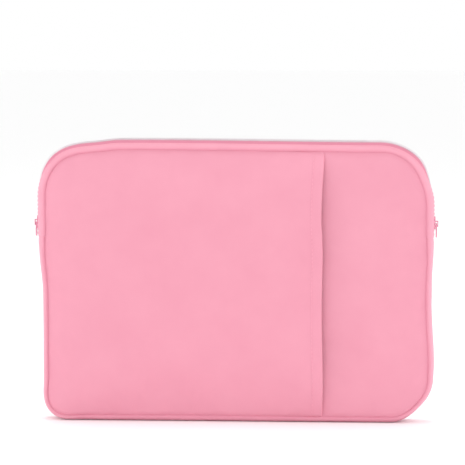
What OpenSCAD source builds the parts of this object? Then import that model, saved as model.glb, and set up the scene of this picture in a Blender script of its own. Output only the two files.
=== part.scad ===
// Padded laptop sleeve, standing upright with its zip fully open.
// Frame: +X along the width, front pocket faces -Y, +Z up, origin on the resting face below the middle.
// The wall round the edge is drawn as a section of [out, y] points: "out" is the distance outwards
// from the seam line that joins each flat panel to the wall.

/* [Sleeve] */
// Width over the side walls
sleeve_width = 340; // [320:1:380]
// Height of the seam line along the top, above the resting face
seam_top = 233; // [225:1:260]
// Thickness of the sleeve, front panel to back panel
sleeve_depth = 24; // [23:0.5:27]
// Radius of the seam line at the two top corners
top_radius = 40; // [32:1:42]
// Radius of the seam line at the two bottom corners
bottom_radius = 30; // [20:1:36]
// How far the wall bulges out past the seam line
wall_bulge = 6.5; // [6.5:0.1:7.5]

/* [Layers] */
// Outer fabric thickness
fabric = 0.8; // [0.6:0.1:1]
// Foam thickness
foam = 2.6; // [2:0.1:3]
// Plush lining thickness
lining = 0.75; // [0.6:0.05:0.9]
// Gap left between neighbouring layers
layer_gap = 0.05; // [0.02:0.01:0.08]

/* [Pocket] */
// Distance from the middle of the sleeve to the pocket mouth
pocket_mouth_x = 75; // [40:1:110]
// How far the pocket stands off the front panel
pocket_rise = 7.1; // [6.8:0.1:8]
// Width of the slope between the pocket's seams and its flat middle
pocket_slope = 45; // [35:1:60]
// Width of the folded hem along the pocket mouth
hem_width = 8; // [5:0.5:12]
// Thickness of the folded hem
hem_thickness = 2.2; // [1.8:0.1:2.4]

/* [Zip] */
// Height of the zip's lower ends on the two sides
zip_end = 163; // [140:1:165]
// Height where the front lip starts to fold forwards
fold = 192; // [191:0.5:192.5]
// Gap between the fixed layers and the layers of the lip
fold_gap = 0.3; // [0.2:0.05:0.4]
// Radius of one row of the coil
coil_radius = 0.9; // [0.8:0.05:0.95]
// Height of the slider's middle above the zip's lower end
slider_above_end = 9; // [9:0.5:12]

/* [Slider] */
// Length of the slider
slider_length = 11; // [10:0.5:12]
// Width of the slider
slider_width = 8.4; // [8:0.1:8.8]
// Thickness of each slider plate
plate = 0.9; // [0.8:0.1:1]
// Length of the pull from its crossbar to its tip
pull_length = 12; // [12:1:20]
// Width of the pull
pull_width = 6; // [5:0.5:7]
// Radius of the pull's crossbar
crossbar_radius = 0.55; // [0.5:0.05:0.55]

/* [Hidden] */
$fn = 48;

// Seam line
half_depth = sleeve_depth / 2;
seam_x = sleeve_width / 2 - wall_bulge;
seam_bottom = wall_bulge;
top_centre = [seam_x - top_radius, seam_top - top_radius];
bottom_centre = [seam_x - bottom_radius, seam_bottom + bottom_radius];
// Wall section of the lower gusset: a short flat, then a rounded edge
edge_radius = 5;
flange = wall_bulge - edge_radius;
edge_steps = 6;
// Corners of the zip run are lofted in these angle steps
corner_step = 10;
// The zip halves are fully apart at this angle round a top corner
open_angle = 46;
// Layer depths, counted inwards from the outside
foam_out = fabric + layer_gap;
foam_in = foam_out + foam;
lining_out = foam_in + layer_gap;
lining_in = lining_out + lining;
// Pocket
pocket_fabric = 1;
pocket_facing = 0.6;
// Slider: its two plates leave room for the coil, its flanges leave a slot for the tape
channel_out = 1.2;
channel_in = 1.3;
slot_half = 0.75;
flange_width = 0.9;
wedge_half = 0.6;
wedge_clearance = 0.4;
// Coil: middle of its tape and of its row, where the zip is closed
coil_out = wall_bulge - 0.8;
coil_y = wedge_half + wedge_clearance + coil_radius;
tape_half = 0.3;
// Edges of the tape and of the band beside the closed zip
tape_gap = 0.45;
tape_edge_y = coil_y + coil_radius + tape_gap;
band_edge_y = 4.8;
stop_height = 2.3;
row_start = zip_end + stop_height + 0.6;
slider_z = zip_end + slider_above_end;
slider_x = seam_x + coil_out;
// Crown over the slider, and the crossbar that hangs in it
crown_half = 1.2;
crown_bar = 0.8;
crown_leg = 1;
crown_bottom = -3.4;
crown_top = 1.8;
tunnel = 1.7;
crossbar_z = -0.75;
crossbar_out = channel_out + plate + tunnel / 2;
pull_arm = 0.9;
pull_hole_half = 1.5;
pull_half_thickness = 0.5;
pull_hole_length = 5;
// Longer than anything it cuts
big = 1000;

pink = [0.96, 0.66, 0.74];
deep_pink = [0.85, 0.5, 0.6];
pale = [0.93, 0.9, 0.92];
foam_white = [0.96, 0.95, 0.9];

// ---- outlines ----

function arc(centre, radius, from, to, steps) =
    [for (i = [0:steps]) let (a = from + (to - from) * i / steps) centre + radius * [cos(a), sin(a)]];

function reversed(list) = [for (i = [len(list) - 1:-1:0]) list[i]];

// The seam line, moved inwards by inset, as [x, z] points
function seam_outline(inset) =
    let (t = top_radius - inset, b = bottom_radius - inset, n = 90 / corner_step)
    concat(
        arc(top_centre, t, 0, 90, n),
        arc([-top_centre.x, top_centre.y], t, 90, 180, n),
        arc([-bottom_centre.x, bottom_centre.y], b, 180, 270, n),
        arc(bottom_centre, b, 270, 360, n)
    );

// Flat layer between depths near and far behind the front face, inside the seam line
module layer(near, far, inset = layer_gap) {
    translate([0, far - half_depth, 0])
        rotate([90, 0, 0])
            linear_extrude(far - near)
                polygon(seam_outline(inset));
}

module below_fold() {
    intersection() {
        children();
        translate([-big / 2, -big / 2, fold - fold_gap / 2 - big]) cube(big);
    }
}

module above_fold() {
    intersection() {
        children();
        translate([-big / 2, -big / 2, fold + fold_gap / 2]) cube(big);
    }
}

module both_sides() {
    children();
    mirror([1, 0, 0]) children();
}

module at_back() {
    mirror([0, 1, 0]) children();
}

// ---- lower wall: one section swept round the bottom and both lower sides ----

// Half of the wall section, from the front seam to the middle, at a depth below the outside
function wall_half(depth) =
    concat(
        [[0, depth - half_depth]],
        arc([flange, edge_radius - half_depth], edge_radius - depth, -90, 0, edge_steps)
    );

function mirrored_y(points) = [for (p = points) [p.x, -p.y]];

function wall_section(near, far) =
    concat(
        wall_half(near), reversed(mirrored_y(wall_half(near))),
        mirrored_y(wall_half(far)), reversed(wall_half(far))
    );

module wall_profile(near, far, radius = 0) {
    translate([radius, 0]) polygon(wall_section(near, far));
}

module gusset(near, far) {
    side_height = zip_end - layer_gap - bottom_centre.y;
    both_sides() {
        translate([seam_x, 0, bottom_centre.y])
            linear_extrude(side_height)
                wall_profile(near, far);
        translate([bottom_centre.x, 0, bottom_centre.y])
            rotate([90, 0, 0])
                rotate([0, 0, -90])
                    rotate_extrude(angle = 90)
                        wall_profile(near, far, bottom_radius);
    }
    translate([-bottom_centre.x, 0, seam_bottom])
        rotate([0, 90, 0])
            linear_extrude(2 * bottom_centre.x)
                wall_profile(near, far);
}

// ---- zip run: sections lofted from one side, over the top, to the other side ----
// A strip is [outer points, inner points], once where the zip is closed and once where it is open.

// Depth counts back from the front face, so at(depth) is its y.

function at(depth) = depth - half_depth;

band_closed = [
    [
        [0, at(0)], [flange, at(0)], [flange + 2.5, at(0.7)],
        [wall_bulge - 0.6, at(2.6)], [wall_bulge, at(4.7)], [wall_bulge, -band_edge_y]
    ],
    [
        [0, at(2.4)], [flange, at(2.4)], [flange + 1.9, at(3.3)],
        [wall_bulge - 2.3, at(4.6)], [wall_bulge - 0.4, at(4.65)], [wall_bulge - 0.4, -band_edge_y]
    ]
];
band_open = [
    [[0, at(0)], [1.5, at(-0.3)], [3.6, at(-0.2)], [5.2, at(0.5)], [6, at(1.3)], [6.3, at(2)]],
    [[0, at(2.1)], [1.5, at(1.9)], [3, at(1.8)], [4.2, at(1.7)], [5.5, at(1.65)], [5.9, at(2.1)]]
];
tape_closed = [
    [[coil_out + tape_half, at(4.7)], [coil_out + tape_half, -tape_edge_y]],
    [[coil_out - tape_half, at(4.7)], [coil_out - tape_half, -tape_edge_y]]
];
tape_open = [
    [[4.4, at(2.3)], [7.1, at(2.8)]],
    [[4.4, at(2.7)], [7.1, at(3.2)]]
];

function coil_strip(centre) = [
    [for (a = [22.5:45:157.5]) centre + coil_radius * [cos(180 - a), sin(180 - a)]],
    [for (a = [22.5:45:157.5]) centre + coil_radius * [cos(180 + a), sin(180 + a)]]
];
coil_closed = coil_strip([coil_out, -coil_y]);
coil_open = coil_strip([8.45, at(3.05)]);

// How far apart the zip halves are at an angle round the corner, 0 to 1
function openness(angle) =
    let (t = min(1, angle / open_angle)) t * t * (3 - 2 * t);

// Places along the run, each [x, z, outward x, outward z, openness]
function half_run(start) =
    concat(
        [[seam_x, start, 1, 0, 0]],
        [for (a = [0:corner_step:90])
            [top_centre.x + top_radius * cos(a), top_centre.y + top_radius * sin(a), cos(a), sin(a), openness(a)]]
    );

function whole_run(start) =
    concat(half_run(start), [for (s = reversed(half_run(start))) [-s[0], s[1], -s[2], s[3], s[4]]]);

// The run along one straight side only
function side_run(start, end) = [[seam_x, start, 1, 0, 0], [seam_x, end, 1, 0, 0]];

function ring(place, closed, opened) =
    let (
        loop_closed = concat(closed[0], reversed(closed[1])),
        loop_open = concat(opened[0], reversed(opened[1])),
        o = place[4]
    )
    [for (i = [0:len(loop_closed) - 1])
        let (p = loop_closed[i] * (1 - o) + loop_open[i] * o)
        [place[0] + place[2] * p.x, p.y, place[1] + place[3] * p.x]];

module loft(run, closed, opened) {
    count = 2 * len(closed[0]);
    rows = len(run);
    points = [for (place = run) each ring(place, closed, opened)];
    sides = [
        for (r = [0:rows - 2], i = [0:count - 1])
            let (a = r * count + i, b = r * count + (i + 1) % count)
            each [[a, b, b + count], [a, b + count, a + count]]
    ];
    last = (rows - 1) * count;
    caps = [
        for (i = [0:count / 2 - 2])
            let (j = count - 1 - i)
            each [
                [i, j, j - 1], [i, j - 1, i + 1],
                [last + i, last + j - 1, last + j], [last + i, last + i + 1, last + j - 1]
            ]
    ];
    polyhedron(points = points, faces = concat(sides, caps));
}

module side_strips(start, closed) {
    both_sides() loft(side_run(start, fold - fold_gap / 2), closed, closed);
}

module lip_strip(closed, opened) {
    loft(whole_run(fold + fold_gap / 2), closed, opened);
}

module back_strip(start, closed, opened) {
    at_back() loft(whole_run(start), closed, opened);
}

// ---- panels ----

module front_panel() { color(pink) below_fold() layer(0, fabric); }
module front_panel_lip() { color(pink) above_fold() layer(0, fabric); }
module front_foam() { color(foam_white) below_fold() layer(foam_out, foam_in); }
module front_foam_lip() { color(foam_white) above_fold() layer(foam_out, foam_in); }
module front_lining() { color(pale) below_fold() layer(lining_out, lining_in); }
module front_lining_lip() { color(pale) above_fold() layer(lining_out, lining_in); }
module back_panel() { color(pink) at_back() layer(0, fabric); }
module back_foam() { color(foam_white) at_back() layer(foam_out, foam_in); }
module back_lining() { color(pale) at_back() layer(lining_out, lining_in); }

// ---- lower wall ----

module lower_gusset() { color(pink) gusset(0, fabric); }
module gusset_foam() { color(foam_white) gusset(foam_out, foam_in); }
module gusset_lining() { color(pale) gusset(lining_out, lining_in); }

// ---- zip bands, tapes and coil rows ----

module front_zip_band() { color(pink) side_strips(zip_end, band_closed); }
module front_zip_band_lip() { color(pink) lip_strip(band_closed, band_open); }
module front_zip_tape() { color(deep_pink) side_strips(zip_end, tape_closed); }
module front_zip_tape_lip() { color(deep_pink) lip_strip(tape_closed, tape_open); }
module front_teeth() { color(pale) side_strips(row_start, coil_closed); }
module front_teeth_lip() { color(pale) lip_strip(coil_closed, coil_open); }
module back_zip_band() { color(pink) back_strip(zip_end, band_closed, band_open); }
module back_zip_tape() { color(deep_pink) back_strip(zip_end, tape_closed, tape_open); }
module back_teeth() { color(pale) back_strip(row_start, coil_closed, coil_open); }

// Block that holds both rows together at the zip's lower end
module end_stop() {
    half_width = 2.75;
    half_thickness = 1;
    translate([slider_x - half_thickness, -half_width, zip_end + 0.5])
        cube([2 * half_thickness, 2 * half_width, stop_height]);
}

module left_end_stop() { color(deep_pink) mirror([1, 0, 0]) end_stop(); }
module right_end_stop() { color(deep_pink) end_stop(); }

// ---- pocket: a shallow dome sewn down on three sides, open towards +X ----

// The dome's shape at a depth below its outside
module pocket_form(depth) {
    thin = 0.01;
    base = -layer_gap * 2;
    hull() {
        layer(base - thin, base, depth + layer_gap);
        layer(depth - pocket_rise, depth - pocket_rise + thin, pocket_slope + depth / 2);
    }
}

module between_x(from, to) {
    intersection() {
        children();
        translate([from, -big / 2, -big / 2]) cube([to - from, big, big]);
    }
}

module pocket_shell(near, far, from, to) {
    between_x(from, to)
        difference() {
            pocket_form(near);
            pocket_form(far);
        }
}

hem_start = pocket_mouth_x - hem_width;
facing_in = pocket_fabric + layer_gap + pocket_facing;

module pocket_cloth() { pocket_shell(0, pocket_fabric, -big, hem_start - layer_gap); }
module pocket_inside() { pocket_shell(pocket_fabric + layer_gap, facing_in, -big, hem_start - layer_gap); }
module hem() { pocket_shell(0, hem_thickness, hem_start, pocket_mouth_x); }

module pocket_panel() { color(pink) below_fold() pocket_cloth(); }
module pocket_panel_lip() { color(pink) above_fold() pocket_cloth(); }
module pocket_lining() { color(pale) below_fold() pocket_inside(); }
module pocket_lining_lip() { color(pale) above_fold() pocket_inside(); }
module pocket_hem() { color(deep_pink) below_fold() hem(); }
module pocket_hem_lip() { color(deep_pink) above_fold() hem(); }

// ---- slider and pull, drawn for the right side with the slider's middle at the origin ----

module slider_outline() {
    w = slider_width / 2;
    l = slider_length / 2;
    nose = 2.8;
    polygon([[-w, 1 - l], [0.8 - w, -l], [w - 0.8, -l], [w, 1 - l], [w, l - 2], [nose, l], [-nose, l], [-w, l - 2]]);
}

// Stands a [y, z] outline up, from x = from to x = to
module plate_between(from, to) {
    translate([from, 0, 0])
        rotate([90, 0, 90])
            linear_extrude(to - from)
                children();
}

module slider_flange(from, to) {
    half = slider_width / 2;
    for (side = [-1, 1])
        translate([from, side > 0 ? half - flange_width : -half, 1 - slider_length / 2])
            cube([to - from, flange_width, slider_length - 3]);
}

module crown() {
    outside = channel_out + plate;
    for (z = [crown_bottom, crown_top - crown_leg])
        translate([outside - 0.2, -crown_half, z])
            cube([tunnel + 0.4, 2 * crown_half, crown_leg]);
    translate([outside + tunnel, -crown_half, crown_bottom])
        cube([crown_bar, 2 * crown_half, crown_top - crown_bottom]);
}

module slider() {
    plate_between(channel_out, channel_out + plate) slider_outline();
    plate_between(-channel_in - plate, -channel_in) slider_outline();
    slider_flange(slot_half, channel_out + 0.1);
    slider_flange(-channel_in - 0.1, -slot_half);
    plate_between(-channel_in - 0.1, channel_out + 0.1)
        polygon([[0, 1], [wedge_half, 2.4], [wedge_half, 4.2], [0, 5.2], [-wedge_half, 4.2], [-wedge_half, 2.4]]);
    crown();
}

// The pull hangs from its crossbar, with the crossbar's middle at the origin
module pull_outline() {
    half = pull_width / 2;
    arm = pull_hole_half + pull_arm;
    difference() {
        union() {
            translate([-arm, -pull_hole_length - 1]) square([2 * arm, pull_hole_length + 1]);
            translate([-half, half - pull_length]) square([2 * half, pull_length - half - pull_hole_length]);
            translate([0, half - pull_length]) circle(half);
        }
        translate([-pull_hole_half, -pull_hole_length]) square([2 * pull_hole_half, pull_hole_length + 1]);
    }
}

module pull() {
    plate_between(-pull_half_thickness, pull_half_thickness) pull_outline();
    rotate([90, 0, 0])
        cylinder(r = crossbar_radius, h = 2 * (pull_hole_half + pull_arm), center = true);
}

module place_slider() {
    translate([slider_x, 0, slider_z]) children();
}

module place_pull() {
    place_slider() translate([crossbar_out, 0, crossbar_z]) children();
}

module left_slider() { color(deep_pink) mirror([1, 0, 0]) place_slider() slider(); }
module right_slider() { color(deep_pink) place_slider() slider(); }
module left_pull() { color(pink) mirror([1, 0, 0]) place_pull() pull(); }
module right_pull() { color(pink) place_pull() pull(); }

front_panel();
front_panel_lip();
front_foam();
front_foam_lip();
front_lining();
front_lining_lip();
front_zip_band();
front_zip_band_lip();
front_zip_tape();
front_zip_tape_lip();
front_teeth();
front_teeth_lip();
pocket_panel();
pocket_panel_lip();
pocket_lining();
pocket_lining_lip();
pocket_hem();
pocket_hem_lip();
back_panel();
back_foam();
back_lining();
back_zip_band();
back_zip_tape();
back_teeth();
lower_gusset();
gusset_foam();
gusset_lining();
left_end_stop();
right_end_stop();
left_slider();
right_slider();
left_pull();
right_pull();
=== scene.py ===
import math

import bmesh
import bpy
import numpy as np
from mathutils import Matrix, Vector, noise


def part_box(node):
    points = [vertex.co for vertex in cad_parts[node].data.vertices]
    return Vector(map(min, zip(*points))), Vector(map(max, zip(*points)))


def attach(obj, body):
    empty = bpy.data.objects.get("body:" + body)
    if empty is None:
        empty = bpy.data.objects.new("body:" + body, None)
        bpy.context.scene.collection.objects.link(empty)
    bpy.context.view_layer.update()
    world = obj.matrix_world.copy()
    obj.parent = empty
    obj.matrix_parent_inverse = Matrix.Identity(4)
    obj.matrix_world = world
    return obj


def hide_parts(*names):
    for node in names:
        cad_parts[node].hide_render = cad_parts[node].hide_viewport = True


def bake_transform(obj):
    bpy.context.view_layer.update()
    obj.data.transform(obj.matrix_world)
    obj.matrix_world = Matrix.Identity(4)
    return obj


# Looks of a padded laptop sleeve: cloth panels, pocket, zip bands, coil, plush inside and metal sliders.
# Shapes are worked out in millimetres and become metres when a mesh is made.
# The wall round the edge is drawn as [out, y] sections, as in the CAD source: "out" is the distance
# outwards from the seam line that joins each flat panel to the wall.

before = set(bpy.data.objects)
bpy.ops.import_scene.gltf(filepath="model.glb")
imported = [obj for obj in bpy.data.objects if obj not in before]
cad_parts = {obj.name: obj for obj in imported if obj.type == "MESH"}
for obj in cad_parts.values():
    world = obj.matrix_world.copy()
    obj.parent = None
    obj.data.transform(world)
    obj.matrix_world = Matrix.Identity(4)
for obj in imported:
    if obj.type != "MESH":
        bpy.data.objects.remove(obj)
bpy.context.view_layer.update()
MM = 0.001


def box_mm(node):
    return [np.array(corner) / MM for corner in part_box(node)]


# ---- sizes, from the CAD nodes ----

LAYER_GAP = 0.05
panel_low, panel_high = box_mm("back_panel")
SEAM_X = panel_high[0] + LAYER_GAP
SEAM_TOP = panel_high[2] + LAYER_GAP
SEAM_BOTTOM = panel_low[2] - LAYER_GAP
ZIP_END = box_mm("back_zip_band")[0][2]
ROW_START = box_mm("back_teeth")[0][2]
HEM_START, MOUTH_X = (corner[0] for corner in box_mm("pocket_hem"))

# Sizes that the CAD source sets and no node's box gives
TOP_RADIUS = 40
BOTTOM_RADIUS = 30
# The zip halves are fully apart this many degrees round each top corner
OPEN_ANGLE = 46

# Thickness of the outer cloth
FABRIC = 0.8


# ---- shaping functions ----

def smooth(value):
    t = np.clip(value, 0, 1)
    return t * t * (3 - 2 * t)


def between(value, start, end):
    """0 at start and 1 at end, smooth in between."""
    return smooth((value - start) / (end - start))


def bump(value, start, end):
    """0 at start and end, 1 midway."""
    return np.sin(np.pi * np.clip((value - start) / (end - start), 0, 1)) ** 2


def inset(x, z):
    """Distance inwards from the seam line, below 0 outside it."""
    middle = (SEAM_TOP + SEAM_BOTTOM) / 2
    radius = np.where(z > middle, TOP_RADIUS, BOTTOM_RADIUS)
    across = np.abs(x) - SEAM_X + radius
    upward = np.abs(z - middle) - (SEAM_TOP - SEAM_BOTTOM) / 2 + radius
    outside = np.hypot(np.maximum(across, 0), np.maximum(upward, 0))
    return radius - outside - np.minimum(np.maximum(across, upward), 0)


def ripple(x, z, wavelength, seed):
    """Smooth noise, about -1 to 1, the same on each run."""
    flat = [
        noise.noise(Vector((a / wavelength, b / wavelength, seed)))
        for a, b in zip(np.ravel(x), np.ravel(z))
    ]
    return 2 * np.array(flat).reshape(np.shape(x))


# ---- slack: how far a handled sleeve strays from its sewn outline ----

LEFT_DRAWN_IN = 3.9
RIGHT_BULGE = 0.9
RIGHT_HOLLOW = 1.6
RIGHT_TOP_HOLLOW = 2.0
TOP_RISE = 1.9
TOP_RISE_LOST = 1.8
TOP_LEFT_SLUMP = 2.7
TOP_SWAY = 0.9
SPREAD_LEFT = 1.9
SPREAD_RIGHT = 1.6
SPREAD_DOWN = 1.6
# The left bottom corner is tighter than it was cut and the right one rounder
CORNER_PUSHES = ((-1, 6.6), (1, -2.3))
FLOOR_GAP = 0.05
# Between these heights, beside the sliders, nothing moves
SLIDER_FOOT = ZIP_END + 2
SLIDER_TOP = 185


def corner_push(x, z, side, amount):
    """Shift of a bottom corner outwards from its centre, for a tighter or rounder corner."""
    across = np.maximum(side * x - (SEAM_X - BOTTOM_RADIUS), 0)
    down = np.maximum(SEAM_BOTTOM + BOTTOM_RADIUS - z, 0)
    reach = np.maximum(np.hypot(across, down), 1e-6)
    swing = 2 * across * down / reach**2
    grow = amount * swing**2 * np.minimum(reach / BOTTOM_RADIUS, 1) ** 2
    return side * grow * across / reach, -grow * down / reach


def seam_spread(x, z):
    """The full panels push the seam outwards, and the wall's middle stays where it is."""
    return between(inset(x, z), -6, -1)


def side_shift(x, z):
    """The left side is drawn in below the zip, and the right side is uneven below and above it."""
    left = between(x, -40, -160)
    right = between(x, 90, 160)
    drawn_in = LEFT_DRAWN_IN * left * between(z, SLIDER_FOOT, 105)
    uneven = RIGHT_BULGE * bump(z, 25, 80) - RIGHT_HOLLOW * bump(z, 60, 160)
    uneven = uneven - RIGHT_TOP_HOLLOW * bump(z, SLIDER_TOP + 1, 232)
    spread = seam_spread(x, z) * between(z, SLIDER_FOOT, ZIP_END - 25)
    return drawn_in + right * uneven + spread * (SPREAD_RIGHT * right - SPREAD_LEFT * left)


def height_shift(x, z):
    """The top edge rises, most at the left, and slumps beside its left corner."""
    rise = (TOP_RISE - TOP_RISE_LOST * between(x, -80, 140)) * between(z, SLIDER_TOP, 228)
    slump = TOP_LEFT_SLUMP * bump(x, -160, -97) * between(z, 195, 230)
    return rise - slump - SPREAD_DOWN * seam_spread(x, z) * between(z, 60, 8)


def soften(points):
    """Points with the sleeve's slack in them."""
    x, y, z = points.T
    dx = side_shift(x, z)
    dy = TOP_SWAY * np.sin(x / 55 + 0.6) * between(z, 190, 235)
    dz = height_shift(x, z)
    for side, amount in CORNER_PUSHES:
        push_x, push_z = corner_push(x, z, side, amount)
        dx = dx + push_x
        dz = dz + push_z
    # The sleeve stands on the floor, which presses its lowest cloth flat
    return np.stack([x + dx, y + dy, np.maximum(z + dz, FLOOR_GAP)], 1)


# ---- meshes from grids of points ----

def grid_normals(points):
    """Outward for a grid whose columns go along +X and rows up, seen from the front."""
    normal = np.cross(np.gradient(points, axis=1), np.gradient(points, axis=0))
    return normal / np.maximum(np.linalg.norm(normal, axis=2, keepdims=True), 1e-9)


def shell(outer, inner, uv):
    """Closed skin between two grids of the same size, as patches of (points, uv)."""
    edges = [
        (outer[0], inner[0], uv[0]),
        (outer[-1], inner[-1], uv[-1]),
        (outer[:, 0], inner[:, 0], uv[:, 0]),
        (outer[:, -1], inner[:, -1], uv[:, -1]),
    ]
    rims = [(np.stack([a, b]), np.stack([t, t])) for a, b, t in edges]
    return [(outer, uv), (inner, uv), *rims]


def grid_ids(grid, start=0):
    """Vertex numbers of a grid of points, counted from start."""
    rows, columns = grid.shape[:2]
    return start + np.arange(rows * columns).reshape(rows, columns)


def grid_faces(ids):
    quads = np.stack([ids[:-1, :-1], ids[:-1, 1:], ids[1:, 1:], ids[1:, :-1]], -1)
    return quads.reshape(-1, 4).tolist()


def build(name, patches, material, subdivide=1):
    """One welded mesh object from patches, with the metric UV map 'cloth' and the seam attribute, which
    carries painted shade, a painted highlight and wear.
    """
    points = np.concatenate([p.reshape(-1, 3) for p, _ in patches])
    uv = np.concatenate([t.reshape(-1, 2) for _, t in patches])
    faces = []
    start = 0
    for p, _ in patches:
        ids = grid_ids(p, start)
        faces.extend(grid_faces(ids))
        start += ids.size
    # The seam attribute: painted shade and wear along the seams, a painted highlight on the wall and
    # painted shade at its foot
    seam = seam_wear_and_painted_light(inset(points[:, 0], points[:, 2]), points[:, 2])
    mesh = bpy.data.meshes.new(name)
    mesh.from_pydata((soften(points) * MM).tolist(), [], faces)
    attribute = mesh.attributes.new("seam", "FLOAT", "POINT")
    attribute.data.foreach_set("value", seam.astype(np.float32))
    layer = mesh.uv_layers.new(name="cloth")
    corners = np.array([i for face in faces for i in face])
    layer.data.foreach_set("uv", (uv[corners] * MM).astype(np.float32).ravel())
    weld(mesh)
    mesh.materials.append(material)
    obj = bpy.data.objects.new(name, mesh)
    bpy.context.scene.collection.objects.link(obj)
    if subdivide:
        obj.modifiers.new("subdivide", "SUBSURF").levels = subdivide
        bake(obj)
    obj.data.polygons.foreach_set("use_smooth", [True] * len(obj.data.polygons))
    return obj


# Widths over which the seam's painted shade and wear fade, and shares of the wall's painted highlight and
# the foot's painted shade
SHADE_AND_WEAR_ON_PANEL = 1.8
SHADE_AND_WEAR_ON_WALL = 0.9
WALL_PAINTED_HIGHLIGHT = 0.8
FOOT_PAINTED_SHADE = 1.8


def seam_wear_and_painted_light(d, z):
    """Painted shade and wear: 1 at the seam, fading inwards over the panel. The wall outside it is paler, a
    painted highlight, but for the edge that the sleeve stands on, which has painted shade."""
    # Painted shade and wear on the panel beside the seam
    panel = np.exp(-np.maximum(d, 0) / SHADE_AND_WEAR_ON_PANEL)
    # On the wall: painted shade and wear at the seam, then a painted highlight
    wall = np.exp(np.minimum(d, 0) / SHADE_AND_WEAR_ON_WALL) - WALL_PAINTED_HIGHLIGHT * between(d, 0, -2)
    # Painted shade on the lowest wall, where the sleeve stands
    wall = wall + FOOT_PAINTED_SHADE * between(z, 8, 3)
    return np.where(d > 0, panel, np.minimum(wall, 1))


def weld(mesh):
    bm = bmesh.new()
    bm.from_mesh(mesh)
    bmesh.ops.remove_doubles(bm, verts=bm.verts, dist=1e-6)
    bmesh.ops.recalc_face_normals(bm, faces=bm.faces)
    bm.to_mesh(mesh)
    bm.free()


def bake(obj):
    """Replaces the mesh by what its modifiers make of it."""
    graph = bpy.context.evaluated_depsgraph_get()
    made = bpy.data.meshes.new_from_object(obj.evaluated_get(graph))
    obj.modifiers.clear()
    old = obj.data
    obj.data = made
    bpy.data.meshes.remove(old)


# ---- cloth simulation ----

CLOTH_FRAMES = 20
PRESSURE = 0.6
# Cloth nearer to the seam than this is sewn down
SEWN = 0.3
# The furthest that the pressure may move cloth, which has less room beside the pocket
SWELL = 1.0
SWELL_BESIDE_POCKET = 0.9


def add_cloth(obj):
    cloth = obj.modifiers.new("cloth", "CLOTH")
    settings = cloth.settings
    settings.quality = 6
    settings.mass = 0.15
    settings.tension_stiffness = 20
    settings.compression_stiffness = 20
    settings.shear_stiffness = 10
    settings.bending_stiffness = 0.6
    settings.vertex_group_mass = "held"
    settings.shrink_min = -0.004
    settings.use_pressure = True
    settings.uniform_pressure_force = PRESSURE
    settings.effector_weights.gravity = 0
    cloth.collision_settings.use_collision = False
    cloth.point_cache.frame_start = 1
    cloth.point_cache.frame_end = CLOTH_FRAMES


def run_frames(obj):
    """Runs the simulation and gives the places where the vertices end up."""
    for step in range(1, CLOTH_FRAMES + 1):
        bpy.context.scene.frame_set(step)
    moved = obj.evaluated_get(bpy.context.evaluated_depsgraph_get())
    result = moved.to_mesh()
    places = np.zeros(len(result.vertices) * 3)
    result.vertices.foreach_get("co", places)
    moved.to_mesh_clear()
    return places / MM


def simulate(points, pinned, cap):
    """Lets a grid of cloth, held where pinned is true, swell under a light pressure. No point moves
    further than cap."""
    ids = grid_ids(points)
    mesh = bpy.data.meshes.new("cloth_run")
    mesh.from_pydata((points.reshape(-1, 3) * MM).tolist(), [], grid_faces(ids))
    obj = bpy.data.objects.new("cloth_run", mesh)
    bpy.context.scene.collection.objects.link(obj)
    obj.vertex_groups.new(name="held").add(ids[pinned].tolist(), 1, "REPLACE")
    add_cloth(obj)
    shift = run_frames(obj).reshape(points.shape) - points
    bpy.data.objects.remove(obj)
    bpy.data.meshes.remove(mesh)
    bpy.context.scene.frame_set(1)
    length = np.linalg.norm(shift, axis=2, keepdims=True)
    limited = cap * np.tanh(length / cap)
    return points + shift * limited / np.maximum(length, 1e-9)


# ---- panels ----

# Distances of the first grid rows from the seam
SEAM_STEPS = [0, 0.5, 1.2, 2.2, 3.6, 5.5, 8, 11.5, 16, 21.5, 28]
# How far each panel stands from the sleeve's middle plane at its seam, and how much fuller it is inside
SEAM_DEPTH = 10.6
COVERED_SEAM_DEPTH = 9.9
POCKET_SEAM_DEPTH = 10.5
FULLNESS = 1.5
COVERED_FULLNESS = 1.3
# Widths over which the panels and the pocket rise from their seams
PANEL_RISE_WIDTH = 2.2
POCKET_RISE_WIDTH = 1.3
POCKET_DOME = 6.7


def columns_to(end):
    """x of the grid columns from the left seam to end, closer together at the corners."""
    corner = [SEAM_X - TOP_RADIUS * (1 - math.cos(math.radians(a))) for a in range(0, 91, 5)]
    middle = np.linspace(-corner[-1], corner[-1], 57)[1:-1]
    whole = np.concatenate([[-x for x in corner], middle, corner[::-1]])
    if end >= SEAM_X:
        return whole
    return np.concatenate([whole[whole < end - 2.5], [end]])


def row_shares():
    """Heights of the grid rows, 0 at the bottom seam to 1 at the top seam, closer together at both."""
    height = SEAM_TOP - SEAM_BOTTOM
    low = np.array(SEAM_STEPS)
    middle = np.linspace(low[-1], height - low[-1], 33)[1:-1]
    return np.concatenate([low, middle, height - low[::-1]]) / height


def panel_grid(columns, depth):
    """Grid of points over the panel outline; depth(x, z, inset) gives how far each stands from y = 0."""
    over_top = np.maximum(np.abs(columns) - SEAM_X + TOP_RADIUS, 0)
    over_bottom = np.maximum(np.abs(columns) - SEAM_X + BOTTOM_RADIUS, 0)
    top = SEAM_TOP - TOP_RADIUS + np.sqrt(np.maximum(TOP_RADIUS**2 - over_top**2, 0))
    bottom = SEAM_BOTTOM + BOTTOM_RADIUS - np.sqrt(np.maximum(BOTTOM_RADIUS**2 - over_bottom**2, 0))
    share = row_shares()[:, None]
    z = bottom[None] + share * (top - bottom)[None]
    x = np.broadcast_to(columns[None], z.shape)
    y = -depth(x, z, inset(x, z))
    return np.stack([x, y, z], 2)


def flat_uv(points):
    """x and z in mm, which are close to the places on the flat cloth."""
    return points[:, :, [0, 2]]


def back_to_front(points):
    return points * [1, -1, 1]


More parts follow.
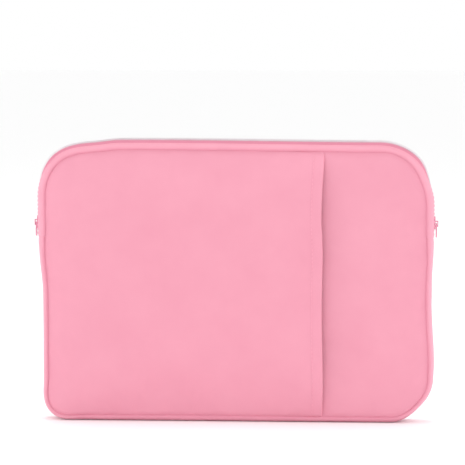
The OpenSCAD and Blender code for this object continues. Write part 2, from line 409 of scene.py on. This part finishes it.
PUCKER_HEIGHT = 0.3
PUCKER_REACH = 7
PUCKER_LENGTH = 9


def puckers(x, z, d, seed):
    """Small gathers where a panel is sewn into its seam, none on the seam itself."""
    fading = np.exp(-d / PUCKER_REACH) * np.minimum(d / 1.2, 1)
    return PUCKER_HEIGHT * fading * ripple(x, z, PUCKER_LENGTH, seed)


def risen(d, width):
    """0 at the seam, 1 well inside it."""
    return 1 - np.exp(-d / width)


def front_depth(x, z, d):
    """The panel sinks into its seam, lies flat under the pocket and is full beside it."""
    shown = between(x, MOUTH_X - 12, MOUTH_X + 8)
    at_seam = COVERED_SEAM_DEPTH + (SEAM_DEPTH - COVERED_SEAM_DEPTH) * shown
    fullness = COVERED_FULLNESS + (FULLNESS - COVERED_FULLNESS) * shown
    crown = shown * 0.6 * between(d, 0, 30)
    return at_seam + fullness * risen(d, PANEL_RISE_WIDTH) + crown + shown * puckers(x, z, d, seed=3.1)


def back_depth(x, z, d):
    """The same panel without a pocket, with a shallow crown and a broad unevenness."""
    plain = SEAM_DEPTH + FULLNESS * risen(d, PANEL_RISE_WIDTH) + 0.5 * between(d, 0, 40)
    return plain + puckers(x, z, d, seed=7.7) + 0.15 * ripple(x, z, 60, seed=1.3)


def pocket_depth(x, z, d):
    """Shallow dome, sewn down on three sides, that stands off sooner near its open mouth."""
    slope = 50 - 26 * between(x, -20, 70)
    dome = POCKET_DOME * (1 - (1 - np.minimum(d / slope, 1)) ** 1.6)
    plain = POCKET_SEAM_DEPTH + FULLNESS * risen(d, POCKET_RISE_WIDTH) + dome
    return plain + puckers(x, z, d, seed=5.3) + 0.25 * ripple(x, z, 70, seed=2.2) * between(d, 0, 30)


def mouth_shift(z):
    """The pocket's mouth isn't a straight line: it is drawn in where the pocket is filled."""
    return 1.6 * between(z, 200, 228) - 1.5 * bump(z, 140, 212) + 0.5 * np.sin(z / 21)


# Radius of the roll at the pocket's mouth, and thickness of the cloth there
ROLL = 1.1
POCKET_FABRIC = 0.9


def pocket_grid():
    points = panel_grid(columns_to(MOUTH_X - ROLL), pocket_depth)
    near_mouth = between(points[:, :, 0], 30, MOUTH_X)
    points[:, :, 0] += near_mouth * mouth_shift(points[:, :, 2])
    d = inset(points[:, :, 0], points[:, :, 2])
    return simulate(points, d < SEWN, SWELL), d


def rolled_edge(points):
    """Columns that carry the cloth round the pocket's mouth to its inner side."""
    edge = points[:, -1]
    along = edge - points[:, -2]
    along = along / np.linalg.norm(along, axis=1, keepdims=True)
    outward = grid_normals(points)[:, -1]
    columns = []
    for turned in range(20, 181, 20):
        a = math.radians(turned)
        columns.append(edge + along * ROLL * math.sin(a) - outward * ROLL * (1 - math.cos(a)))
    return np.stack(columns, 1)


# ---- the wall round the edge ----

# Each run is a list of stations of x, z, outward x, outward z and the angle round the corner in degrees.

def quarter(centre_x, centre_z, radius, angles):
    """Stations round a corner."""
    a = np.radians(angles)
    x = centre_x + radius * np.cos(a)
    z = centre_z + radius * np.sin(a)
    return np.stack([x, z, np.cos(a), np.sin(a), np.degrees(a)], 1)


def straight(start, end, step, direction, angle):
    """Stations about step apart on a straight side whose outward direction is given."""
    count = max(2, int(math.dist(start, end) / step) + 1)
    places = np.linspace(start, end, count)
    return np.concatenate([places, np.tile([*direction, angle], (count, 1))], 1)


def both_halves(half):
    """half runs from the right side to the middle; the run starts at the left side."""
    left = half * [-1, 1, -1, 1, 1]
    return np.concatenate([left, half[::-1][1:]])


def top_run(start):
    """From height start at the left, over the top, down to the same height at the right."""
    corner_x, corner_z = SEAM_X - TOP_RADIUS, SEAM_TOP - TOP_RADIUS
    side = straight((SEAM_X, start), (SEAM_X, corner_z), 2.5, (1, 0), 0)[:-1]
    corner = quarter(corner_x, corner_z, TOP_RADIUS, np.arange(0, 90, 3))
    top = straight((corner_x, SEAM_TOP), (0, SEAM_TOP), 3.5, (0, 1), 90)
    return both_halves(np.concatenate([side, corner, top]))


def bottom_run():
    """From the left zip end, round the bottom, to the right zip end."""
    corner_x, corner_z = SEAM_X - BOTTOM_RADIUS, SEAM_BOTTOM + BOTTOM_RADIUS
    side = straight((SEAM_X, ZIP_END), (SEAM_X, corner_z), 3.5, (1, 0), 0)[:-1]
    corner = quarter(corner_x, corner_z, BOTTOM_RADIUS, np.arange(0, -90, -4))
    bottom = straight((corner_x, SEAM_BOTTOM), (0, SEAM_BOTTOM), 4.5, (0, -1), -90)
    return both_halves(np.concatenate([side, corner, bottom]))


def openness(run):
    """0 where the zip halves lie side by side, 1 where they are fully apart."""
    return smooth(run[:, 4] / OPEN_ANGLE)[:, None, None]


def spline(points, count):
    """Catmull-Rom curve of count points through the given ones."""
    points = np.array(points, float)
    padded = np.concatenate([[2 * points[0] - points[1]], points, [2 * points[-1] - points[-2]]])
    made = []
    for t in np.linspace(0, len(points) - 1 - 1e-9, count):
        i = int(t)
        f = t - i
        a, b, c, d = padded[i:i + 4]
        bend = (2 * a - 5 * b + 4 * c - d) * f**2 + (3 * b - a - 3 * c + d) * f**3
        made.append(0.5 * (2 * b + (c - a) * f + bend))
    return np.array(made)


def run_length(run):
    steps = np.hypot(np.diff(run[:, 0]), np.diff(run[:, 1]))
    return np.concatenate([[0], np.cumsum(steps)])


def place(run, section):
    """section[station, point] of [out, y], placed along the run."""
    out, y = section[:, :, 0], section[:, :, 1]
    x = run[:, 0:1] + run[:, 2:3] * out
    z = run[:, 1:2] + run[:, 3:4] * out
    return np.stack([x, y, z], 2)


# The zip bands overlap the lower gusset by this much
LAP = 4


def strip_wave(length, count, seed):
    """Uneven slack of a strip, none at its two edges. Its width counts as 24 mm of the noise."""
    along, across = np.meshgrid(length, np.linspace(0, 24, count), indexing="ij")
    return ripple(along, across, 13, seed) * np.sin(np.linspace(0, np.pi, count))


def strip(run, closed, opened, thick, count, slack=0.0, seed=0.0, tuck=0.0):
    """A strip of cloth along the run, as its outer and inner grids and UV. closed and opened are its
    middle line where the zip is closed and open, thick its thickness at the first and last point, and
    tuck is how far its two ends sink below the strip that overlaps them."""
    o = openness(run)
    line = spline(closed, count)[None] * (1 - o) + spline(opened, count)[None] * o
    along = np.gradient(line, axis=1)
    side = np.stack([along[:, :, 1], -along[:, :, 0]], 2)
    side = side / np.linalg.norm(side, axis=2, keepdims=True)
    length = run_length(run)
    if slack:
        line = line + side * (slack * strip_wave(length, count, seed))[:, :, None]
    ends = between(run[:, 1], ZIP_END - LAP - 3, ZIP_END - LAP)[:, None, None]
    line = line - side * tuck * ends
    half = (np.linspace(thick[0], thick[1], count) / 2)[None, :, None]
    steps = np.linalg.norm(np.diff(spline(closed, count), axis=0), axis=1)
    across = np.concatenate([[0], np.cumsum(steps)])
    uv = np.stack(np.broadcast_arrays(across[None], length[:, None]), 2)
    return place(run, line + side * half), place(run, line - side * half), uv


def strip_normals(made):
    outer, inner, _ = made
    gap = outer - inner
    return gap / np.linalg.norm(gap, axis=2, keepdims=True)


# Middle lines across each strip, as [out, y]
BAND_CLOSED = [(-0.3, -10.1), (1.2, -11.0), (3.3, -10.7), (4.9, -9.3), (5.7, -7.2), (6.0, -5.1)]
BAND_OPEN = [(-0.3, -10.1), (1.2, -11.2), (2.5, -11.5), (3.7, -11.2), (4.6, -10.7), (5.1, -10.2)]
TAPE_CLOSED = [(5.2, -7.8), (5.6, -6.2), (5.7, -4.4), (5.7, -2.9)]
TAPE_OPEN = [(3.2, -9.9), (4.9, -9.7), (6.4, -9.4), (7.6, -9.1)]
COIL_CLOSED = (5.7, -1.9)
COIL_OPEN = (8.35, -8.95)
FACING_CLOSED = [(-6, -8.1), (0.5, -8.1), (3.2, -7.9), (4.5, -6.6), (5.0, -4.6)]
FACING_OPEN = [(-6, -8.15), (-1, -8.3), (1.4, -8.6), (3.2, -8.9), (4.8, -9.05)]
GUSSET_HALF = [(-0.3, -10.0), (0.5, -11.1), (1.9, -11.6), (3.7, -11.1), (5.3, -9.3), (6.0, -7), (6.1, -3.5)]
GUSSET_FOAM_HALF = [(-0.3, -9.7), (1.4, -9.85), (3.2, -9.1), (4.3, -7.6), (4.5, -5.5), (4.5, -3)]
GUSSET_LINING_HALF = [(-1, -8.1), (1.2, -8.05), (2.3, -7.4), (2.7, -6.2), (2.75, -4.5), (2.75, -2.5)]


def front_to_back(half):
    """A wall section from the front seam to the back seam."""
    return half + [(half[-1][0], 0)] + [(out, -y) for out, y in half[::-1]]


def mirrored(patches):
    return [(back_to_front(points), uv) for points, uv in patches]


def coil(run, wire, turn_radius, pitch, sides, steps):
    """A row of coil as one wire wound along the run."""
    length = run_length(run)
    turns = length[-1] / pitch
    count = int(turns * steps)
    s = np.linspace(0, length[-1], count)
    at = np.stack([np.interp(s, length, run[:, i]) for i in range(5)], 1)
    outward = at[:, 2:4] / np.linalg.norm(at[:, 2:4], axis=1, keepdims=True)
    o = smooth(at[:, 4] / OPEN_ANGLE)[:, None]
    middle = np.array([COIL_CLOSED]) * (1 - o) + np.array([COIL_OPEN]) * o
    turn = 2 * np.pi * s / pitch
    out = middle[:, 0] + turn_radius * np.cos(turn)
    y = middle[:, 1] + turn_radius * np.sin(turn)
    path = np.stack([at[:, 0] + outward[:, 0] * out, y, at[:, 1] + outward[:, 1] * out], 1)
    return tube(path, np.full(count, wire), sides)


def tube(path, radii, sides):
    """Grid of points round a path."""
    along = np.gradient(path, axis=0)
    along = along / np.linalg.norm(along, axis=1, keepdims=True)
    guide = np.where(np.abs(along[:, 1:2]) < 0.8, [[0.0, 1.0, 0.0]], [[1.0, 0.0, 0.0]])
    across = np.cross(along, guide)
    across = across / np.linalg.norm(across, axis=1, keepdims=True)
    other = np.cross(along, across)
    a = np.linspace(0, 2 * np.pi, sides + 1)
    ring = across[:, None] * np.cos(a)[None, :, None] + other[:, None] * np.sin(a)[None, :, None]
    points = path[:, None] + ring * radii[:, None, None]
    steps = np.linalg.norm(np.diff(path, axis=0), axis=1)
    s = np.concatenate([[0], np.cumsum(steps)])
    uv = np.stack(np.broadcast_arrays((a * radii.max())[None], s[:, None]), 2)
    return points, uv


STITCH = 2.6
STITCH_PITCH = 3.5
# Radius of the thread, and how far its middle stands off the cloth
THREAD = 0.22
THREAD_STAND = 0.06


def stitches(path, outward, start=2.0):
    """A row of lockstitches that lie on a line of the cloth's surface."""
    steps = np.linalg.norm(np.diff(path, axis=0), axis=1)
    s = np.concatenate([[0], np.cumsum(steps)])
    # Radius, share of the length and height of each point of a stitch, which dips in at both its ends
    profile = np.array([0, 0.7, 1, 1, 0.7, 0]) * THREAD
    spread = np.array([0, 0.08, 0.3, 0.7, 0.92, 1])
    lift = np.array([-THREAD, 0, 0.1, 0.1, 0, -THREAD]) + THREAD_STAND
    made = []
    for first in np.arange(start, s[-1] - STITCH - start, STITCH_PITCH):
        at = first + spread * STITCH
        line = np.stack([np.interp(at, s, path[:, i]) for i in range(3)], 1)
        up = np.stack([np.interp(at, s, outward[:, i]) for i in range(3)], 1)
        made.append(tube(line + up * lift[:, None], profile, 6))
    return made


# ---- materials ----

def new_material(name, colour, roughness, **sockets):
    """A material with its node tree and shader. A socket's spaces are written as underscores."""
    material = bpy.data.materials.new(name)
    material.use_nodes = True
    shader = material.node_tree.nodes["Principled BSDF"]
    shader.inputs["Base Color"].default_value = (*colour, 1)
    shader.inputs["Roughness"].default_value = roughness
    for socket, value in sockets.items():
        shader.inputs[socket.replace("_", " ")].default_value = value
    return material, material.node_tree, shader


def add(tree, kind, **settings):
    node = tree.nodes.new(kind)
    for name, value in settings.items():
        setattr(node, name, value)
    return node


def maths(tree, operation, a, b=None):
    node = add(tree, "ShaderNodeMath", operation=operation)
    for socket, value in zip(node.inputs, (a, b)):
        if value is None:
            continue
        if isinstance(value, (int, float)):
            socket.default_value = value
        else:
            tree.links.new(value, socket)
    return node.outputs[0]


def weighted(tree, start, *terms):
    """start plus each value of terms times its weight."""
    total = start
    for value, weight in terms:
        total = maths(tree, "ADD", maths(tree, "MULTIPLY", value, weight), total)
    return total


def cloth_uv(tree):
    return add(tree, "ShaderNodeUVMap", uv_map="cloth").outputs["UV"]


def noise_of(tree, vector, scale, detail=3, roughness=0.5):
    node = add(tree, "ShaderNodeTexNoise")
    node.inputs["Scale"].default_value = scale
    node.inputs["Detail"].default_value = detail
    node.inputs["Roughness"].default_value = roughness
    tree.links.new(vector, node.inputs["Vector"])
    return node.outputs["Fac"]


def weave_of(tree, pitch):
    """Over-and-under threads, 1 at the crown of a thread."""
    parts = add(tree, "ShaderNodeSeparateXYZ")
    tree.links.new(cloth_uv(tree), parts.inputs[0])
    waves = []
    for axis in ("X", "Y"):
        turned = maths(tree, "MULTIPLY", parts.outputs[axis], 2 * math.pi / pitch)
        waves.append(maths(tree, "SINE", turned))
    return weighted(tree, 0.5, (maths(tree, "MULTIPLY", *waves), 0.5))


def bump_chain(tree, shader, layers):
    """Stacks bump layers of (height, distance in metres, strength)."""
    normal = None
    for height, distance, strength in layers:
        node = add(tree, "ShaderNodeBump")
        node.inputs["Distance"].default_value = distance
        node.inputs["Strength"].default_value = strength
        tree.links.new(height, node.inputs["Height"])
        if normal is not None:
            tree.links.new(normal, node.inputs["Normal"])
        normal = node.outputs["Normal"]
    tree.links.new(normal, shader.inputs["Normal"])


def mix_colours(tree, shader, light, dark, factor):
    """Base colour from light, where factor is 0, to dark, where it is 1."""
    node = add(tree, "ShaderNodeMix", data_type="RGBA")
    colours = {"A": light, "B": dark}
    for socket in node.inputs:
        if socket.name == "Factor" and socket.type == "VALUE":
            tree.links.new(factor, socket)
        if socket.name in colours and socket.type == "RGBA":
            socket.default_value = (*colours[socket.name], 1)
    result = next(socket for socket in node.outputs if socket.type == "RGBA")
    tree.links.new(result, shader.inputs["Base Color"])


def cloth_material(name, light, dark, pitch, sheen, seam_shading_and_wear=0.24):
    """Woven cloth: threads, uneven dye, and darker cloth along the seams, part wear and part painted shade,
    with a painted highlight on the wall and painted shade at its foot.
    """
    material, tree, shader = new_material(name, light, 0.85, Sheen_Weight=sheen, Sheen_Roughness=0.45)
    shader.inputs["Specular IOR Level"].default_value = 0.25
    uv = cloth_uv(tree)
    threads = weave_of(tree, pitch)
    fibres = noise_of(tree, uv, 2600, 4, 0.65)
    dye = noise_of(tree, uv, 22, 3, 0.6)
    # Seam attribute: painted shade and wear at the seams, a painted highlight on the wall, painted shade at
    # the foot
    seam = add(tree, "ShaderNodeAttribute", attribute_name="seam").outputs["Fac"]
    shade = weighted(tree, 0.2, (dye, 0.34), (threads, -0.16), (fibres, 0.2), (seam, seam_shading_and_wear))
    mix_colours(tree, shader, light, dark, shade)
    tree.links.new(weighted(tree, 0.7, (fibres, 0.2)), shader.inputs["Roughness"])
    bump_chain(tree, shader, [(threads, 0.00016, 0.7), (fibres, 0.0001, 0.5)])
    return material


def plush_material():
    """Short brushed pile that lies in soft patches."""
    light, dark = (0.82, 0.79, 0.81), (0.66, 0.62, 0.65)
    material, tree, shader = new_material("plush_pile", light, 0.95, Sheen_Weight=0.6, Sheen_Roughness=0.6)
    uv = cloth_uv(tree)
    pile = noise_of(tree, uv, 1500, 5, 0.7)
    patches = noise_of(tree, uv, 60, 3, 0.6)
    mix_colours(tree, shader, light, dark, weighted(tree, 0, (pile, 0.6), (patches, 0.4)))
    bump_chain(tree, shader, [(patches, 0.0006, 0.4), (pile, 0.0005, 0.8)])
    return material


def foam_material():
    light, dark = (0.9, 0.88, 0.82), (0.75, 0.72, 0.64)
    material, tree, shader = new_material("foam_cells", light, 0.9)
    cells = add(tree, "ShaderNodeTexVoronoi")
    cells.inputs["Scale"].default_value = 1100
    tree.links.new(cloth_uv(tree), cells.inputs["Vector"])
    mix_colours(tree, shader, light, dark, cells.outputs["Distance"])
    bump_chain(tree, shader, [(cells.outputs["Distance"], 0.0004, 0.7)])
    return material


def coil_material():
    """Moulded nylon, with the faint drag marks of its winding."""
    light, dark = (0.86, 0.8, 0.83), (0.7, 0.58, 0.63)
    material, tree, shader = new_material("coil_nylon", light, 0.32)
    uv = cloth_uv(tree)
    marks = noise_of(tree, uv, 900, 3, 0.6)
    tone = noise_of(tree, uv, 40, 2, 0.5)
    mix_colours(tree, shader, light, dark, tone)
    tree.links.new(weighted(tree, 0.2, (marks, 0.25)), shader.inputs["Roughness"])
    bump_chain(tree, shader, [(marks, 0.00004, 0.5)])
    return material


def metal_material():
    """Glossy pink paint on die-cast metal, with an orange-peel surface and rubbed spots."""
    light, dark = (0.8, 0.29, 0.41), (0.55, 0.14, 0.24)
    coat = {"Coat_Weight": 0.7, "Coat_Roughness": 0.08}
    material, tree, shader = new_material("painted_zip_metal", light, 0.2, Metallic=0.4, **coat)
    where = add(tree, "ShaderNodeTexCoord").outputs["Object"]
    peel = noise_of(tree, where, 1800, 2, 0.5)
    rubbed = noise_of(tree, where, 420, 4, 0.6)
    mix_colours(tree, shader, light, dark, maths(tree, "MULTIPLY", rubbed, 0.5))
    tree.links.new(weighted(tree, 0.1, (rubbed, 0.22)), shader.inputs["Roughness"])
    bump_chain(tree, shader, [(peel, 0.00003, 0.4)])
    return material


def thread_material():
    light, dark = (0.9, 0.4, 0.52), (0.8, 0.31, 0.42)
    material, tree, shader = new_material("sewing_thread", light, 0.6, Sheen_Weight=0.3)
    twist = add(tree, "ShaderNodeTexWave", wave_type="BANDS", bands_direction="DIAGONAL")
    twist.inputs["Scale"].default_value = 900
    tree.links.new(cloth_uv(tree), twist.inputs["Vector"])
    mix_colours(tree, shader, light, dark, maths(tree, "MULTIPLY", twist.outputs["Fac"], 0.5))
    bump_chain(tree, shader, [(twist.outputs["Fac"], 0.00008, 0.6)])
    return material


# Name, light and dark colour, thread pitch in metres, sheen
pink = cloth_material("pink_cloth", (0.86, 0.39, 0.487), (0.66, 0.218, 0.308), 0.0006, 0.18)
pocket_pink = cloth_material("pocket_lining_cloth", (0.83, 0.35, 0.45), (0.66, 0.22, 0.31), 0.0005, 0.1)
tape_pink = cloth_material("zip_tape_cloth", (0.78, 0.31, 0.41), (0.6, 0.2, 0.29), 0.0009, 0.1, seam_shading_and_wear=0.1)
plush = plush_material()
foam = foam_material()
nylon = coil_material()
metal = metal_material()
thread = thread_material()


# ---- building the pieces ----

def blended(piece, slot, *nodes):
    """A piece that crosses the lip's fold."""
    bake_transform(piece)
    return labelled(piece, slot, *nodes)


def fixed(piece, slot, *nodes):
    """A piece of the sleeve's body."""
    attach(piece, "sleeve")
    return labelled(piece, slot, *nodes)


def labelled(piece, slot, *nodes):
    if nodes:
        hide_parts(*nodes)
    return piece


def with_lip(node):
    return node, node + "_lip"


def cloth_skin(name, points, thickness, material, flip=False):
    inner = points - grid_normals(points) * thickness
    patches = shell(points, inner, flat_uv(points))
    return build(name, mirrored(patches) if flip else patches, material)


def make_panels():
    """Both outer panels. Gives their grids, which the foam follows."""
    front = panel_grid(columns_to(SEAM_X), front_depth)
    d = inset(front[:, :, 0], front[:, :, 2])
    held = (d < SEWN) | (front[:, :, 0] < MOUTH_X - 20)
    front = simulate(front, held, SWELL_BESIDE_POCKET)
    piece = cloth_skin("front_panel_cloth", front, FABRIC, pink)
    blended(piece, "pink_fabric", *with_lip("front_panel"))

    back = panel_grid(columns_to(SEAM_X), back_depth)
    back = simulate(back, d < SEWN, SWELL)
    piece = cloth_skin("back_panel_cloth", back, FABRIC, pink, flip=True)
    fixed(piece, "pink_fabric", "back_panel")
    return front, back


# y of the foam's inner face, and from the panel's outer face to the foam
FOAM_INNER = 8.6
PANEL_TO_FOAM = 1.0


def make_foam(front, back):
    for name, points, flip in (("front", front, False), ("back", back, True)):
        outer = points.copy()
        outer[:, :, 1] += PANEL_TO_FOAM
        inner = points.copy()
        inner[:, :, 1] = -FOAM_INNER
        patches = shell(outer, inner, flat_uv(points))
        piece = build(name + "_foam_pad", mirrored(patches) if flip else patches, foam, subdivide=0)
        if flip:
            fixed(piece, "foam", "back_foam")
        else:
            blended(piece, "foam", *with_lip("front_foam"))


# How far the lining's two faces stand from the sleeve's middle plane, and the pile's unevenness
LINING_OUTER = 8.5
LINING_INNER = 7.8
UNEVEN_PILE = 0.12


def lining_patches():
    """The plush wall of one side, with the facing that turns out to the zip tape."""
    flat = panel_grid(columns_to(SEAM_X), lambda x, z, d: np.full(x.shape, LINING_OUTER))
    x = flat[:, :, 0]
    z = flat[:, :, 2]
    inner = flat.copy()
    inner[:, :, 1] = -LINING_INNER
    inner[:, :, 1] += UNEVEN_PILE * ripple(x, z, 14, seed=9.1) * between(inset(x, z), 2, 12)
    facing = strip(top_run(ZIP_END + 1), FACING_CLOSED, FACING_OPEN, (0.8, 0.7), 10, slack=0.1, seed=4.4)
    return shell(flat, inner, flat_uv(flat)) + shell(*facing)


def make_linings():
    patches = lining_patches()
    front = build("front_lining_plush", patches, plush)
    blended(front, "plush", *with_lip("front_lining"))
    back = build("back_lining_plush", mirrored(patches), plush)
    fixed(back, "plush", "back_lining")


def make_gusset():
    """The three layers of the wall, from the outer cloth inwards."""
    run = bottom_run()
    # name, section, thickness, material, slot, node, columns, slack, tuck
    parts = (
        ("lower_gusset_cloth", GUSSET_HALF, (0.9, 0.9), pink, "pink_fabric", "lower_gusset", 25, 0.12, 0.6),
        ("gusset_foam_pad", GUSSET_FOAM_HALF, (1.2, 1.2), foam, "foam", "gusset_foam", 17, 0, 0.6),
        ("gusset_lining_plush", GUSSET_LINING_HALF, (0.7, 0.7), plush, "plush", "gusset_lining", 17, 0, 0),
    )
    for name, half, thick, material, slot, node, count, slack, tuck in parts:
        section = front_to_back(half)
        made = strip(run, section, section, thick, count, slack, seed=2.6, tuck=tuck)
        piece = build(name, shell(*made), material)
        fixed(piece, slot, node)


# The column of the band's grid that its stitches follow
STITCHED_COLUMN = 10


def make_zip():
    """The front half's pieces and their mirror images, which make the back half."""
    run = top_run(ZIP_END)
    band_run = top_run(ZIP_END - LAP)
    band = strip(band_run, BAND_CLOSED, BAND_OPEN, (1.7, 1.2), 13, slack=0.12, seed=1.7)
    tape = strip(run, TAPE_CLOSED, TAPE_OPEN, (0.5, 0.45), 7)
    wire = coil(top_run(ROW_START), wire=0.26, turn_radius=0.6, pitch=1.5, sides=6, steps=9)
    sewn = stitches(band[0][:, STITCHED_COLUMN], strip_normals(band)[:, STITCHED_COLUMN])
    pieces = (
        ("zip_band_cloth", shell(*band), pink, "pink_fabric", "zip_band", 1),
        ("zip_tape_weave", shell(*tape), tape_pink, "zip_tape", "zip_tape", 1),
        ("coil_row", [wire], nylon, "coil", "teeth", 0),
        ("band_stitches", sewn, thread, "thread", None, 0),
    )
    for name, patches, material, slot, node, subdivide in pieces:
        front = build("front_" + name, patches, material, subdivide=subdivide)
        blended(front, slot, *(with_lip("front_" + node) if node else ()))
        back = build("back_" + name, mirrored(patches), material, subdivide=subdivide)
        fixed(back, slot, *(["back_" + node] if node else ()))


# Width that the roll at the mouth adds to the pocket's flat cloth
POCKET_LINING = 0.5
# Depths of the hem's two faces under the pocket's outer face
HEM_OUTER = 1.2
HEM_INNER = 2.15


def make_pocket_cloth(points):
    whole = np.concatenate([points, rolled_edge(points)], 1)
    uv = flat_uv(whole).copy()
    plain = points.shape[1]
    round_edge = np.linspace(0, math.pi * ROLL, whole.shape[1] - plain + 1)[1:]
    uv[:, plain:, 0] = uv[:, plain - 1, None, 0] + round_edge[None]
    inner = whole - grid_normals(whole) * POCKET_FABRIC
    piece = build("pocket_cloth", shell(whole, inner, uv), pink)
    blended(piece, "pink_fabric", *with_lip("pocket_panel"))


def layer(points, outer, inner, columns):
    """Patches of a layer between two depths under the pocket's outer face."""
    normals = grid_normals(points)
    high = points - normals * outer
    low = points - normals * inner
    return shell(high[:, columns], low[:, columns], flat_uv(points)[:, columns])


def make_pocket():
    """The outer cloth, the lining up to the hem, the hem and its row of stitches."""
    points, d = pocket_grid()
    make_pocket_cloth(points)

    lined = points[:, :, 0] < HEM_START + 1
    count = int(lined.all(axis=0).sum())
    # The lining is sewn in with the pocket's cloth at the seam, and hangs a little behind it inside
    reach = (0.15 + 0.9 * between(d, 0, 9))[:, :, None]
    lining = layer(points, reach, reach + POCKET_LINING, slice(count))
    piece = build("pocket_lining_cloth", lining, pocket_pink)
    blended(piece, "plush", *with_lip("pocket_lining"))

    hem = layer(points, HEM_OUTER, HEM_INNER, slice(count - 1, None))
    piece = build("pocket_hem_fold", hem, pink)
    blended(piece, "pink_fabric", *with_lip("pocket_hem"))

    sewn = stitches(points[:, count - 1], grid_normals(points)[:, count - 1], start=4)
    piece = build("pocket_hem_stitches", sewn, thread, subdivide=0)
    blended(piece, "thread")


HARDWARE = [side + part for part in ("slider", "pull", "end_stop") for side in ("left_", "right_")]


def finish_metal():
    """The CAD nodes of the zip's hardware keep their shape, with their edges eased."""
    for name in HARDWARE:
        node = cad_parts[name]
        node.data.materials.clear()
        node.data.materials.append(metal)
        node.modifiers.new("weld", "WELD").merge_threshold = 0.00001
        flat = node.modifiers.new("dissolve", "DECIMATE")
        flat.decimate_type = "DISSOLVE"
        flat.angle_limit = math.radians(2)
        ease = node.modifiers.new("ease", "BEVEL")
        ease.width = 0.00022
        ease.segments = 3
        ease.limit_method = "ANGLE"
        ease.angle_limit = math.radians(35)
        node.data.polygons.foreach_set("use_smooth", [True] * len(node.data.polygons))
        node.modifiers.new("normals", "WEIGHTED_NORMAL")


# ---- camera, light and floor ----

def aim(obj, target):
    direction = Vector(target) - obj.location
    obj.rotation_euler = direction.to_track_quat("-Z", "Y").to_euler()


def make_camera():
    """Long lens, almost straight on, a little above the sleeve and to its right."""
    target = Vector((-0.0026, 0, 0.1628))
    distance = 1.8
    azimuth = math.radians(3)
    elevation = math.radians(5)
    # Width of the picture at the target, in metres, and of the sensor, in mm
    seen_width = 0.4003
    sensor = 36
    camera = bpy.data.objects.new("camera", bpy.data.cameras.new("camera"))
    bpy.context.scene.collection.objects.link(camera)
    level = math.cos(elevation)
    away = Vector((math.sin(azimuth) * level, -math.cos(azimuth) * level, math.sin(elevation)))
    camera.location = target + distance * away
    camera.data.sensor_width = sensor
    camera.data.lens = sensor * distance / seen_width
    aim(camera, target)
    bpy.context.scene.camera = camera


def area_light(name, place_at, target, size, power):
    """A square light of size metres and power watts that faces target."""
    light = bpy.data.objects.new(name, bpy.data.lights.new(name, "AREA"))
    bpy.context.scene.collection.objects.link(light)
    light.location = place_at
    light.data.shape = "SQUARE"
    light.data.size = size
    light.data.energy = power
    aim(light, target)


def make_lights():
    """An even white surrounding, with soft lights in front, above and at both sides."""
    world = bpy.data.worlds.new("studio")
    bpy.context.scene.world = world
    world.use_nodes = True
    background = world.node_tree.nodes["Background"]
    background.inputs["Color"].default_value = (1, 1, 1, 1)
    background.inputs["Strength"].default_value = 1.0
    area_light("key", (0.6, -1.9, 1.2), (0, 0, 0.12), 1.0, 3)
    area_light("overhead", (0, 0.25, 2), (0, 0, 0), 0.8, 12)
    area_light("right_side", (1.5, -0.5, 0.5), (0, 0, 0.12), 0.8, 5)
    area_light("left_side", (-1.5, -0.4, 0.4), (0, 0, 0.12), 0.6, 5)
    bpy.context.scene.view_settings.view_transform = "Standard"


def make_floor():
    """A pale floor that reaches far beyond the picture."""
    mesh = bpy.data.meshes.new("floor")
    half = 30
    corners = [(-half, -half, 0), (half, -half, 0), (half, half, 0), (-half, half, 0)]
    mesh.from_pydata(corners, [], [(0, 1, 2, 3)])
    floor = bpy.data.objects.new("floor", mesh)
    bpy.context.scene.collection.objects.link(floor)
    mesh.materials.append(new_material("pale_floor", (0.98, 0.98, 0.98), 0.8)[0])


make_camera()
front_points, back_points = make_panels()
make_foam(front_points, back_points)
make_linings()
make_gusset()
make_zip()
make_pocket()
finish_metal()
make_lights()
make_floor()
